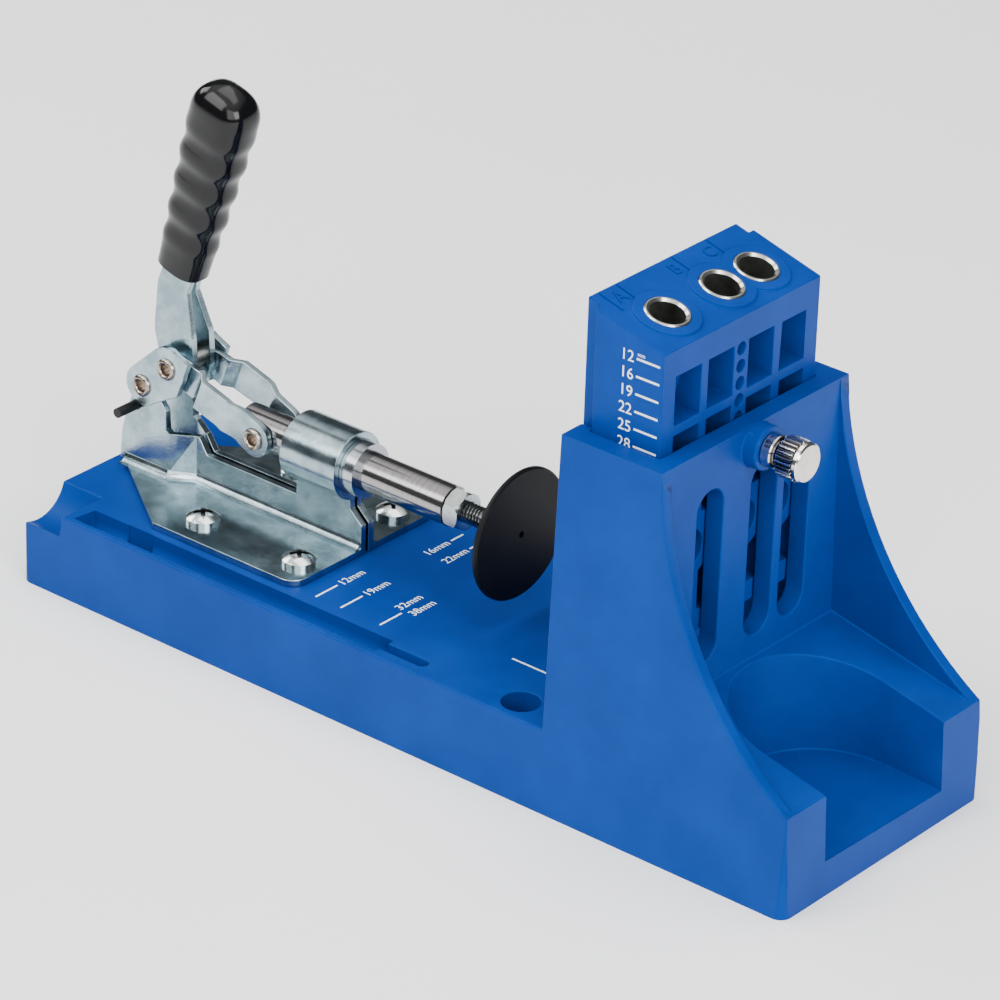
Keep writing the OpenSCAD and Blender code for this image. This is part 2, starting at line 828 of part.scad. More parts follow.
// End view of one leg of the folded strip, which meets the other leg below the grip
module strap_leg_end_view() {
    top = strap_end[1] + 2 * strap_half;
    spread = crank[1] + spread_rise;
    meet = strap_knee[1] + grip_start * 0.6;
    inner = [[strap_in, 0], [strap_in, spread], [tang_in, meet], [tang_in, top]];
    polygon([for (i = [0 : 3]) inner[i], for (i = [3 : -1 : 0]) inner[i] + [sheet_t, 0]]);
}

// The closed end of the strip passes under the crank rivet
module strap_fold(x0, x1, z) {
    translate([0, 0, z]) difference() {
        bar_x(x0, x1, strap_out);
        bar_x(x0 - 1, x1 + 1, strap_in);
        translate([x0 - 1, -strap_out - 1, 0]) cube([x1 - x0 + 2, 2 * strap_out + 2, strap_out + 1]);
    }
}

module handle_strap() {
    fold_z = crank[1] - 3.8;
    fold_x0 = crank[0] - 4;
    fold_x1 = crank[0] + 4.4;
    color("lightsteelblue") placed() difference() {
        union() {
            difference() {
                for (side = [0, 1]) mirror([0, side, 0]) intersection() {
                    along_y(0, strap_out + 1) strap_side_view();
                    along_x(-base_l, base_l) strap_leg_end_view();
                }
                translate([fold_x0, -strap_out - 1, 0]) cube([base_l, 2 * strap_out + 2, fold_z]);
            }
            strap_fold(fold_x0, fold_x1, fold_z);
        }
        bar_y(pivot, -strap_out - 1, strap_out + 1, rivet_d / 2);
        bar_y(crank, -strap_out - 1, strap_out + 1, rivet_d / 2);
    }
}

module cheek_side_view() {
    difference() {
        union() {
            tangent_pair(pivot, 5.9, crank, 6.3);
            polygon([
                pivot + [1.5, -5.7], crank + [3.9, -7.1], crank + [7.7, 3.4], crank + [2, 6], crank
            ]);
        }
        translate(pivot) circle(d = rivet_d);
        translate(crank) circle(d = rivet_d);
    }
}

module cheek_plate_near() {
    color("lightsteelblue") placed() along_y(-cheek_out, -cheek_in) cheek_side_view();
}

module cheek_plate_far() {
    color("lightsteelblue") placed() along_y(cheek_in, cheek_out) cheek_side_view();
}

// Tubular rivet with a rolled rim at each end of a stack
module rivet(p, half) {
    rim_h = 0.9;
    hollow = 2.4;
    hollow_r = rivet_d * 0.4;
    rim_w = (rivet_head_d / 2 - hollow_r) / 2;
    end = half + rim_h;
    function rim(from, to, base, way) = [
        for (a = [from : sign(to - from) * 30 : to])
            [hollow_r + rim_w * (1 + cos(a)), base + way * rim_h * sin(a)]
    ];
    placed() translate([p[0], 0, p[1]]) rotate([90, 0, 0]) rotate_extrude() polygon([
        [0, hollow - end], [hollow_r, hollow - end], each rim(180, 0, -half, -1), [rivet_d / 2, -half],
        [rivet_d / 2, half], each rim(0, 180, half, 1), [hollow_r, end - hollow], [0, end - hollow]
    ]);
}

module pivot_rivet() color("silver") rivet(pivot, cheek_out);
module crank_rivet() color("silver") rivet(crank, cheek_out);
module plunger_rivet() color("silver") rivet([wrist_x, rod_z], eye_out + plate_gap / 2);

module crank_spacer() {
    spacer_d = 7;
    color("silver") placed() difference() {
        bar_y(crank, -strap_in, strap_in, spacer_d / 2);
        bar_y(crank, -strap_in - 1, strap_in + 1, rivet_d / 2);
    }
}

// Dipped grip: rounded oblong rings with finger ridges, closed by a dome
grip_sides = 32;
grip_rings = 44;
grip_ridges = 6.5;

function grip_fade(t) = min(1, max(0, t - 0.1) / 0.08) * min(1, (0.82 - t) / 0.1);
function grip_ridge(t) = t < 0.82 ? ridge_h * grip_fade(t) * cos(360 * grip_ridges * t) : 0;
function grip_dome(t) = t < 0.86 ? 1 : sqrt(max(0.0004, 1 - pow((t - 0.86) / 0.14, 2)));
function grip_swell(t) = 0.75 + 0.25 * min(1, t / 0.8);
function soft(v) = sign(v) * pow(abs(v), 0.72);
function grip_ring(t) = [
    for (i = [0 : grip_sides - 1])
        let (a = 360 * i / grip_sides, k = grip_swell(t) * grip_dome(t), g = grip_ridge(t) * grip_dome(t))
        [k * grip_w / 2 * soft(cos(a)) + g * cos(a), k * grip_t / 2 * soft(sin(a)) + g * sin(a), t * grip_l]
];

module grip_body() {
    points = [for (j = [0 : grip_rings]) each grip_ring(j / grip_rings)];
    last = grip_rings * grip_sides;
    polyhedron(points, [
        [for (i = [0 : grip_sides - 1]) i],
        for (j = [0 : grip_rings - 1], i = [0 : grip_sides - 1])
            let (a = j * grip_sides + i, b = j * grip_sides + (i + 1) % grip_sides)
            each [[a, a + grip_sides, b], [b, a + grip_sides, b + grip_sides]],
        [for (i = [grip_sides - 1 : -1 : 0]) last + i]
    ]);
}

module handle_grip() {
    foot = strap_knee + grip_start * grip_dir;
    color("black") placed() difference() {
        translate([foot[0], 0, foot[1]]) rotate([0, grip_lean, 0]) grip_body();
        along_y(-tang_out, tang_out) tangent_pair(strap_knee, strap_half, strap_end, strap_half);
    }
}

// Links: bowed plates with a clearance slot at the crank end

slot_room = 0.52;
slot_start = [-link_l + 0.62, 0.08];
slot_end = [-link_l - 2.35, -2.3];
link_end_r = rivet_d / 2 + slot_room + 1.2;
link_eye_r = 5.2;

// Side view along the link, with the plunger rivet at the origin
module link_side_view() {
    half = link_w / 2;
    knee = [-link_l * 0.35, 1.2];
    hip = [-link_l * 0.72, 0.6];
    hole_r = rivet_d / 2 + slot_room;
    difference() {
        union() {
            tangent_pair([0, 0], link_eye_r, knee, half);
            tangent_pair(knee, half, hip, half);
            tangent_pair(hip, half, slot_start, link_end_r);
            tangent_pair(slot_start, link_end_r, slot_end, link_end_r);
        }
        circle(d = rivet_d + 0.1);
        tangent_pair(slot_start, hole_r, slot_end, hole_r);
    }
}

// Plan of the bowed strip in (x, y), from the eye at the rod to the crank end
module link_plan() {
    t = sheet_t;
    mid_in = eye_in + link_bow;
    xs = [
        link_eye_r + 1, -link_eye_r - 0.6, -link_eye_r - 4.4,
        -link_l + 12.4, -link_l + 9.6, slot_end[0] - 9
    ];
    ys = [eye_in, eye_in, mid_in, mid_in, link_in, link_in];
    polygon([
        for (i = [0 : 5]) [xs[i], ys[i]],
        for (i = [5 : -1 : 0]) [xs[i], ys[i] + t]
    ]);
}

module link_far() {
    color("lightsteelblue") placed() translate([wrist_x, 0, rod_z]) rotate([0, link_deg, 0]) intersection() {
        along_y(0, 20) link_side_view();
        translate([0, 0, -20]) linear_extrude(40) link_plan();
    }
}

module link_near() {
    mirror([0, 1, 0]) link_far();
}

// Plunger rod, spindle, lock nut and pad

rod_bore_l = 40;
spindle_l = 46;
thread_clear = 0.05;

module plunger_rod() {
    x0 = wrist_x - rod_tail;
    flat_l = rod_tail + link_eye_r + 2.4;
    color("silver") placed() difference() {
        translate([0, 0, rod_z]) bar_x(x0, rod_x1, rod_d / 2);
        for (y = [-rod_d - rod_flats / 2, rod_flats / 2]) {
            translate([x0 - 1, y, rod_z - rod_d]) cube([flat_l + 1, rod_d, 2 * rod_d]);
        }
        translate([0, 0, rod_z]) bar_x(rod_x1 - rod_bore_l, rod_x1 + 1, spindle_d / 2 + thread_clear);
        bar_y([wrist_x, rod_z], -rod_d, rod_d, rivet_d / 2);
    }
}

module lock_nut() {
    r = nut_af / 2 / cos(30);
    x0 = rod_x1 + plate_gap;
    bevel = 0.8;
    color("silver") placed() translate([x0, 0, rod_z]) rotate([0, 90, 0]) difference() {
        intersection() {
            cylinder(h = nut_t, r = r, $fn = 6);
            rotate_extrude() polygon([
                [0, 0], [nut_af / 2, 0], [r, bevel], [r, nut_t - bevel], [nut_af / 2, nut_t], [0, nut_t]
            ]);
        }
        translate([0, 0, -1]) cylinder(h = nut_t + 2, d = spindle_d + 2 * thread_clear);
    }
}

hub_d = 14;
hub_l = 4.6;
hub_neck_d = 10;
spindle_seat = 3.4;

module spindle_bolt() {
    collar_t = 1.6;
    collar_d = hub_neck_d;
    x1 = pad_x - spindle_seat;
    hub_x = pad_x - pad_rim - hub_l;
    color("silver") placed() translate([0, 0, rod_z]) {
        bar_x(x1 - spindle_l, x1, spindle_d / 2);
        bar_x(hub_x - collar_t, hub_x, collar_d / 2);
    }
}

module pressure_pad() {
    dimple_d = 2;
    dimple = 1.2;
    edge = 0.5;
    hub_x = pad_x - pad_rim - hub_l;
    color("black") placed() translate([hub_x, 0, rod_z]) rotate([0, 90, 0]) difference() {
        rotate_extrude() polygon([
            [0, 0], [hub_neck_d / 2, 0], [hub_d / 2, hub_l * 0.6], [pad_d / 2 - 2, hub_l],
            [pad_d / 2, hub_l + 0.3], [pad_d / 2, hub_l + pad_rim - edge],
            [pad_d / 2 - edge, hub_l + pad_rim], [0, hub_l + pad_rim]
        ]);
        translate([0, 0, -1]) cylinder(h = hub_l + pad_rim - spindle_seat + 1, d = spindle_d);
        translate([0, 0, hub_l + pad_rim - dimple]) cylinder(h = dimple + 1, d = dimple_d);
    }
}

base_moulding();
clamp_frame();
plunger_bush();
frame_screws();
frame_nuts();
stop_pin();
thumb_screw_insert();
thumb_screw();
guide_block();
guide_bush_a();
guide_bush_b();
guide_bush_c();
handle_strap();
cheek_plate_near();
cheek_plate_far();
handle_grip();
pivot_rivet();
crank_rivet();
crank_spacer();
link_near();
link_far();
plunger_rod();
plunger_rivet();
lock_nut();
spindle_bolt();
pressure_pad();
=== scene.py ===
import json
import math

import bmesh
import bpy
from mathutils import Matrix, Vector
from mathutils.bvhtree import BVHTree

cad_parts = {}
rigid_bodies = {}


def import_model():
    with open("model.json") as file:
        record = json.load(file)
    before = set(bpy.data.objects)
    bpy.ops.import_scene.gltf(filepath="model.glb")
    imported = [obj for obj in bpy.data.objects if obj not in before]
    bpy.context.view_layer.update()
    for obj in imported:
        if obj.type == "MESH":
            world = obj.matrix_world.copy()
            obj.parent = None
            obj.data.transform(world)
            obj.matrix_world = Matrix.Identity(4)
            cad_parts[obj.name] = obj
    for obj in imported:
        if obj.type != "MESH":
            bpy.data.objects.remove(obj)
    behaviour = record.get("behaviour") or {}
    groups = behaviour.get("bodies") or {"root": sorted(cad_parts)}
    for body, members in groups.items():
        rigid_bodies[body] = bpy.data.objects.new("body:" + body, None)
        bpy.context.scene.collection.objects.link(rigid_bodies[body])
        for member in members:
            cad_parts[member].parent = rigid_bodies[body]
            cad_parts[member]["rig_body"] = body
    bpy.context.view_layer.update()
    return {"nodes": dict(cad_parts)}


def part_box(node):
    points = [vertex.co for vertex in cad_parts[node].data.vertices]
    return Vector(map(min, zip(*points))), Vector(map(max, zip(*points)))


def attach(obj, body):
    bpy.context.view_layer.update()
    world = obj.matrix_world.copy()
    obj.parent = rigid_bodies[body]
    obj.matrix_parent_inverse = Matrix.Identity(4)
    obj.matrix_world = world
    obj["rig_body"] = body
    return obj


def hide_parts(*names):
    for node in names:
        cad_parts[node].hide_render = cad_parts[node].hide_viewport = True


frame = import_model()

MM = 0.001
nodes = frame["nodes"]


# Materials

def new_group(name, inputs, outputs):
    group = bpy.data.node_groups.new(name, "ShaderNodeTree")
    for label, value in inputs:
        socket = group.interface.new_socket(label, in_out="INPUT", socket_type="NodeSocketFloat")
        socket.default_value = value
    for label, kind in outputs:
        group.interface.new_socket(label, in_out="OUTPUT", socket_type=kind)
    ins = group.nodes.new("NodeGroupInput")
    outs = group.nodes.new("NodeGroupOutput")
    return group, ins, outs


def fine_bump(group, ins, height, depth):
    bump = group.nodes.new("ShaderNodeBump")
    bump.inputs["Distance"].default_value = depth
    group.links.new(ins.outputs["Bump"], bump.inputs["Strength"])
    group.links.new(height, bump.inputs["Height"])
    return bump.outputs["Normal"]


def grain_group():
    """Fine surface grain and slow cloudiness, from object coordinates."""
    group, ins, outs = new_group(
        "surface_grain",
        [("Grain scale", 1800.0), ("Cloud scale", 60.0), ("Bump", 0.1)],
        [("Cloud", "NodeSocketFloat"), ("Normal", "NodeSocketVector")],
    )
    coord = group.nodes.new("ShaderNodeTexCoord")
    fine = group.nodes.new("ShaderNodeTexNoise")
    fine.inputs["Detail"].default_value = 3.0
    slow = group.nodes.new("ShaderNodeTexNoise")
    slow.inputs["Detail"].default_value = 4.0
    slow.inputs["Roughness"].default_value = 0.6
    group.links.new(coord.outputs["Object"], fine.inputs["Vector"])
    group.links.new(coord.outputs["Object"], slow.inputs["Vector"])
    group.links.new(ins.outputs["Grain scale"], fine.inputs["Scale"])
    group.links.new(ins.outputs["Cloud scale"], slow.inputs["Scale"])
    group.links.new(slow.outputs["Fac"], outs.inputs["Cloud"])
    normal = fine_bump(group, ins, fine.outputs["Fac"], 0.1 * MM)
    group.links.new(normal, outs.inputs["Normal"])
    return group


def turning_group():
    """Fine rings left by turning, around the X axis."""
    group, ins, outs = new_group(
        "turning_rings",
        [("Pitch", 2600.0), ("Bump", 0.1)],
        [("Ring", "NodeSocketFloat"), ("Normal", "NodeSocketVector")],
    )
    coord = group.nodes.new("ShaderNodeTexCoord")
    split = group.nodes.new("ShaderNodeSeparateXYZ")
    along = group.nodes.new("ShaderNodeCombineXYZ")
    noise = group.nodes.new("ShaderNodeTexNoise")
    noise.inputs["Detail"].default_value = 2.0
    group.links.new(coord.outputs["Object"], split.inputs[0])
    group.links.new(split.outputs["X"], along.inputs["X"])
    group.links.new(along.outputs[0], noise.inputs["Vector"])
    group.links.new(ins.outputs["Pitch"], noise.inputs["Scale"])
    group.links.new(noise.outputs["Fac"], outs.inputs["Ring"])
    normal = fine_bump(group, ins, noise.outputs["Fac"], 0.06 * MM)
    group.links.new(normal, outs.inputs["Normal"])
    return group


GRAIN = grain_group()
RINGS = turning_group()


def two_tone(tree, fac, low, high):
    ramp = tree.nodes.new("ShaderNodeValToRGB")
    ramp.color_ramp.elements[0].position = 0.35
    ramp.color_ramp.elements[0].color = (*low, 1.0)
    ramp.color_ramp.elements[1].position = 0.65
    ramp.color_ramp.elements[1].color = (*high, 1.0)
    tree.links.new(fac, ramp.inputs["Fac"])
    return ramp.outputs["Color"]


def spread(tree, fac, low, high):
    node = tree.nodes.new("ShaderNodeMapRange")
    node.inputs["To Min"].default_value = low
    node.inputs["To Max"].default_value = high
    tree.links.new(fac, node.inputs["Value"])
    return node.outputs["Result"]


def patterned(name, group, settings, tone, low, high, rough):
    """A material whose colour, gloss and normal all follow one shared pattern."""
    mat = bpy.data.materials.new(name)
    mat.use_nodes = True
    tree = mat.node_tree
    tree.nodes.clear()
    out = tree.nodes.new("ShaderNodeOutputMaterial")
    bsdf = tree.nodes.new("ShaderNodeBsdfPrincipled")
    tree.links.new(bsdf.outputs["BSDF"], out.inputs["Surface"])
    pattern = tree.nodes.new("ShaderNodeGroup")
    pattern.node_tree = group
    for label, value in settings.items():
        pattern.inputs[label].default_value = value
    fac = pattern.outputs[tone]
    tree.links.new(two_tone(tree, fac, low, high), bsdf.inputs["Base Color"])
    tree.links.new(spread(tree, fac, *rough), bsdf.inputs["Roughness"])
    tree.links.new(pattern.outputs["Normal"], bsdf.inputs["Normal"])
    return mat, bsdf


def plastic(name, low, high, rough, grain, cloud, bump, shine, tint=(1.0, 1.0, 1.0), coat=0.0):
    settings = {"Grain scale": grain, "Cloud scale": cloud, "Bump": bump}
    mat, bsdf = patterned(name, GRAIN, settings, "Cloud", low, high, rough)
    bsdf.inputs["Specular IOR Level"].default_value = shine
    bsdf.inputs["Specular Tint"].default_value = (*tint, 1.0)
    bsdf.inputs["Coat Weight"].default_value = coat
    bsdf.inputs["Coat Roughness"].default_value = 0.08
    return mat


def paint_crevice_shade(tree, bsdf, reach):
    """Paints shade into a metal's colour where its own surface closes in, as in a screw's recess."""
    colour = bsdf.inputs["Base Color"].links[0].from_socket
    openness = tree.nodes.new("ShaderNodeAmbientOcclusion")
    openness.only_local = True
    openness.inputs["Distance"].default_value = reach * MM
    depth = tree.nodes.new("ShaderNodeMath")
    depth.operation = "POWER"
    depth.inputs[1].default_value = 2.5
    dimmed = tree.nodes.new("ShaderNodeVectorMath")
    dimmed.operation = "SCALE"
    tree.links.new(openness.outputs["AO"], depth.inputs[0])
    tree.links.new(colour, dimmed.inputs[0])
    tree.links.new(depth.outputs["Value"], dimmed.inputs["Scale"])
    tree.links.new(dimmed.outputs["Vector"], bsdf.inputs["Base Color"])


def metal(name, low, high, rough, grain, cloud, bump, crevice_shade=0.0):
    settings = {"Grain scale": grain, "Cloud scale": cloud, "Bump": bump}
    mat, bsdf = patterned(name, GRAIN, settings, "Cloud", low, high, rough)
    bsdf.inputs["Metallic"].default_value = 1.0
    # Paints shade into the colour of the metal's own recesses.
    if crevice_shade:
        paint_crevice_shade(mat.node_tree, bsdf, crevice_shade)
    return mat


def turned_metal(name, low, high, rough, pitch):
    mat, bsdf = patterned(name, RINGS, {"Pitch": pitch, "Bump": 0.1}, "Ring", low, high, rough)
    bsdf.inputs["Metallic"].default_value = 1.0
    return mat


BLUE_SHINE = (0.1, 0.5, 1.0)
BLUE = plastic(
    "blue_moulding", (0.0008, 0.027, 0.19), (0.0015, 0.035, 0.23), (0.4, 0.52),
    grain=1500, cloud=45, bump=0.12, shine=0.2, tint=BLUE_SHINE,
)
GUIDE_BLUE = plastic(
    "blue_guide", (0.0008, 0.027, 0.195), (0.0015, 0.035, 0.235), (0.38, 0.5),
    grain=1600, cloud=60, bump=0.1, shine=0.2, tint=BLUE_SHINE,
)
VINYL = plastic(
    "dipped_vinyl", (0.002, 0.002, 0.0022), (0.004, 0.004, 0.0045), (0.1, 0.18),
    grain=500, cloud=90, bump=0.05, shine=0.28, coat=0.05,
)
PAD_BLACK = plastic(
    "pad_rubber", (0.001, 0.0014, 0.002), (0.003, 0.0036, 0.0045), (0.42, 0.56),
    grain=1400, cloud=120, bump=0.12, shine=0.2,
)
BLACK_PIN = plastic(
    "black_pin", (0.002, 0.002, 0.0025), (0.005, 0.005, 0.006), (0.4, 0.55),
    grain=900, cloud=180, bump=0.1, shine=0.3,
)
PRINT = plastic(
    "white_print", (0.72, 0.82, 0.88), (0.86, 0.93, 0.97), (0.45, 0.6),
    grain=2000, cloud=300, bump=0.03, shine=0.5,
)
PALE_FLOOR = plastic(
    "pale_floor", (0.93, 0.94, 0.95), (0.96, 0.96, 0.97), (0.6, 0.75),
    grain=300, cloud=5, bump=0.02, shine=0.5,
)
ZINC_SHEET = metal(
    "zinc_sheet", (0.22, 0.3, 0.335), (0.42, 0.52, 0.555), (0.12, 0.28),
    grain=1700, cloud=110, bump=0.3,
)
# Painted shade darkens the screw recesses, the thread roots and where the nuts meet.
ZINC_HARDWARE = metal(
    "zinc_hardware", (0.46, 0.5, 0.5), (0.64, 0.67, 0.66), (0.12, 0.24),
    grain=900, cloud=160, bump=0.1, crevice_shade=1.5,
)
DRILL_BUSH = metal(
    "ground_bush", (0.46, 0.47, 0.43), (0.66, 0.67, 0.63), (0.16, 0.3),
    grain=1200, cloud=200, bump=0.08,
)
RIVET = metal(
    "rivet_steel", (0.3, 0.25, 0.21), (0.46, 0.4, 0.35), (0.16, 0.32),
    grain=900, cloud=260, bump=0.12,
)
# Painted shade darkens the grooves of the knurl.
NICKEL = metal(
    "nickel_knob", (0.68, 0.64, 0.6), (0.84, 0.8, 0.76), (0.1, 0.2),
    grain=900, cloud=200, bump=0.05, crevice_shade=1.0,
)
BRASS = metal(
    "insert_brass", (0.5, 0.35, 0.12), (0.66, 0.48, 0.2), (0.25, 0.4),
    grain=900, cloud=180, bump=0.1,
)
ROD_STEEL = turned_metal("turned_rod", (0.25, 0.235, 0.24), (0.38, 0.365, 0.365), (0.1, 0.22), 2600)
BUSH_STEEL = turned_metal("turned_bush", (0.36, 0.39, 0.41), (0.54, 0.57, 0.59), (0.14, 0.26), 1900)


# Mesh helpers

def add_piece(name, mesh, mat, body):
    """Puts a mesh in the scene as a piece that moves with a CAD body."""
    mesh.materials.clear()
    mesh.materials.append(mat)
    obj = bpy.data.objects.new(name, mesh)
    bpy.context.scene.collection.objects.link(obj)
    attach(obj, body)
    return obj


def shaded_piece(name, bm, mat, body, sharp_deg=35.0):
    """A piece shaded smooth except along edges sharper than sharp_deg."""
    for face in bm.faces:
        face.smooth = True
    for edge in bm.edges:
        if len(edge.link_faces) == 2:
            edge.smooth = edge.calc_face_angle(0.0) < math.radians(sharp_deg)
    mesh = bpy.data.meshes.new(name)
    bm.to_mesh(mesh)
    bm.free()
    return add_piece(name, mesh, mat, body)


def merged_copy(node):
    bm = bmesh.new()
    bm.from_mesh(nodes[node].data)
    bmesh.ops.remove_doubles(bm, verts=bm.verts, dist=0.002 * MM)
    return bm


def body_of(node):
    return nodes[node]["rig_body"]


def on_ground(vert):
    return vert.co.z < 0.05 * MM


def can_round(edge, width, corner_deg):
    """True for a sharp edge, off the ground, with room for the round at both ends."""
    if len(edge.link_faces) != 2 or edge.calc_face_angle(0.0) < math.radians(corner_deg):
        return False
    if all(on_ground(v) for v in edge.verts):
        return False
    for vert in edge.verts:
        along = (edge.other_vert(vert).co - vert.co).normalized()
        for face in edge.link_faces:
            for side in vert.link_edges:
                if side is edge or face not in side.link_faces:
                    continue
                reach = side.other_vert(vert).co - vert.co
                sideways = (reach - along * reach.dot(along)).length
                goes_on = reach.normalized().dot(along) < -0.8
                if sideways < 2.2 * width and not goes_on:
                    return False
    return True


def fold_corners(bm):
    """Corners of triangles that face against the face they belong to."""
    bm.normal_update()
    corners = []
    for loops in bm.calc_loop_triangles():
        a, b, c = (loop.vert.co for loop in loops)
        if (b - a).cross(c - a).dot(loops[0].face.normal) < -0.01 * MM * MM:
            corners += [a.copy(), b.copy(), c.copy()]
    return corners


def softened(node, mat, width, segments=2, corner_deg=28.0):
    """Replaces a CAD node by a copy whose sharp edges carry a small round."""
    width = width * MM
    solid = merged_copy(node)
    bmesh.ops.dissolve_limit(
        solid, angle_limit=math.radians(0.4),
        verts=[v for v in solid.verts if not on_ground(v)],
        edges=[e for e in solid.edges if not all(on_ground(v) for v in e.verts)],
    )
    solid.edges.index_update()
    surface = BVHTree.FromBMesh(solid)
    rounded = {e.index for e in solid.edges if can_round(e, width, corner_deg)}
    solid.edges.ensure_lookup_table()
    while True:
        bm = solid.copy()
        bm.edges.ensure_lookup_table()
        bmesh.ops.bevel(
            bm, geom=[bm.edges[i] for i in rounded], offset=width, offset_type="OFFSET",
            segments=segments, profile=0.5, affect="EDGES", clamp_overlap=False, material=-1,
        )
        gaps = [(v.co.copy(), surface.find_nearest(v.co)[3]) for v in bm.verts]
        strays = [(co, gap) for co, gap in gaps if gap > 0.5 * width]
        strays += [(co, 0.5 * width) for co in fold_corners(bm)]
        crowded = {
            i for i in rounded for co, gap in strays
            if any((v.co - co).length < 2.0 * gap + width for v in solid.edges[i].verts)
        }
        if not crowded:
            break
        rounded -= crowded
        bm.free()
    solid.free()
    obj = shaded_piece(node + "_soft", bm, mat, body_of(node), sharp_deg=50.0)
    even = obj.modifiers.new("even_normals", "WEIGHTED_NORMAL")
    even.keep_sharp = True
    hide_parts(node)


def smoothed(node, mat):
    """Replaces a CAD node by a merged copy that is shaded smooth."""
    obj = shaded_piece(node + "_smooth", merged_copy(node), mat, body_of(node))
    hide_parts(node)


def outline(bm, profile, centre):
    """Joins (x, radius) points, in millimetres, above the X axis through centre."""
    verts = [bm.verts.new(centre + Vector((x, 0, r)) * MM) for x, r in profile]
    edges = [bm.edges.new(pair) for pair in zip(verts, verts[1:])]
    return verts + edges


def revolve(bm, profile, centre, steps):
    bmesh.ops.spin(
        bm, geom=outline(bm, profile, centre), cent=centre, axis=(1, 0, 0),
        angle=2 * math.pi, steps=steps, use_merge=True,
    )
    bmesh.ops.remove_doubles(bm, verts=bm.verts, dist=0.0001 * MM)


# Moulded, folded and turned pieces

SHEET_ROUND = 0.22

softened("base_moulding", BLUE, 0.5)
softened("guide_block", GUIDE_BLUE, 0.28)
for sheet in (
    "clamp_frame", "handle_strap", "cheek_plate_near", "cheek_plate_far", "link_near", "link_far",
):
    softened(sheet, ZINC_SHEET, SHEET_ROUND)

smoothed("plunger_bush", BUSH_STEEL)
smoothed("plunger_rod", ROD_STEEL)
smoothed("frame_screws", ZINC_HARDWARE)
smoothed("frame_nuts", ZINC_HARDWARE)
smoothed("lock_nut", ZINC_HARDWARE)
smoothed("stop_pin", BLACK_PIN)
smoothed("thumb_screw_insert", BRASS)
smoothed("pressure_pad", PAD_BLACK)
for bush in ("guide_bush_a", "guide_bush_b", "guide_bush_c"):
    smoothed(bush, DRILL_BUSH)
for rivet in ("pivot_rivet", "crank_rivet", "crank_spacer", "plunger_rivet"):
    smoothed(rivet, RIVET)


# Dipped grip

def dipped_grip():
    """The grip with its facets eased, as a dipped skin lies."""
    rim_deg = 65.0
    bm = merged_copy("handle_grip")
    rim = {
        v for e in bm.edges for v in e.verts
        if len(e.link_faces) == 2 and e.calc_face_angle(0.0) > math.radians(rim_deg)
    }
    skin = [v for v in bm.verts if v not in rim]
    bmesh.ops.smooth_vert(
        bm, verts=skin, factor=0.5, use_axis_x=True, use_axis_y=True, use_axis_z=True,
    )
    obj = shaded_piece("dipped_grip", bm, VINYL, "handle", sharp_deg=rim_deg)
    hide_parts("handle_grip")


dipped_grip()


# Threaded spindle

def threaded_spindle():
    """A helical thread, the collar behind the pad and a plain core at each end."""
    lo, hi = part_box("spindle_bolt")
    centre = Vector((0, 0, (lo.z + hi.z) / 2))
    x0, x1 = lo.x / MM, hi.x / MM
    crest, root, pitch = 2.98, 2.45, 1.0
    steps = 24
    turns = int((x1 - x0) / pitch) - 1
    collar_x = 2.5
    collar_end = collar_x + 1.6
    bm = bmesh.new()
    groove = [(x0, crest), (x0 + 0.45 * pitch, root), (x0 + 0.55 * pitch, root), (x0 + pitch, crest)]
    bmesh.ops.spin(
        bm, geom=outline(bm, groove, centre), cent=centre, axis=(1, 0, 0),
        dvec=(pitch * MM / steps, 0, 0), angle=2 * math.pi * turns, steps=steps * turns, use_merge=False,
    )
    bmesh.ops.remove_doubles(bm, verts=bm.verts, dist=0.0001 * MM)
    revolve(bm, [
        (collar_x, 2.2), (collar_x, 4.5), (collar_x + 0.4, 5.0),
        (collar_end - 0.2, 5.0), (collar_end, 4.8), (collar_end, 2.2),
    ], centre, 48)
    revolve(bm, [(x1 - 3.0, 0.0), (x1 - 3.0, 2.9), (x1 - 0.1, 2.9), (x1 - 0.1, 0.0)], centre, 32)
    revolve(bm, [(x0, 0.0), (x0, 2.4), (x0 + 1.2, 2.4), (x0 + 1.2, 0.0)], centre, 32)
    bmesh.ops.recalc_face_normals(bm, faces=bm.faces)
    obj = shaded_piece(
        "spindle_thread", bm, ZINC_HARDWARE, "spindle", sharp_deg=40.0,
    )
    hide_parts("spindle_bolt")


threaded_spindle()


# Knurled thumb screw

def knurled_ring(bm, x, tip, root, teeth, centre):
    """One closed loop of edges round the knob that steps between tip and root."""
    count = teeth * 4
    verts = []
    for i in range(count):
        r = tip if i % 4 in (0, 1) else root
        a = 2 * math.pi * i / count
        verts.append(bm.verts.new(centre + Vector((x, r * math.sin(a), r * math.cos(a))) * MM))
    return [bm.edges.new((verts[i], verts[(i + 1) % count])) for i in range(count)]


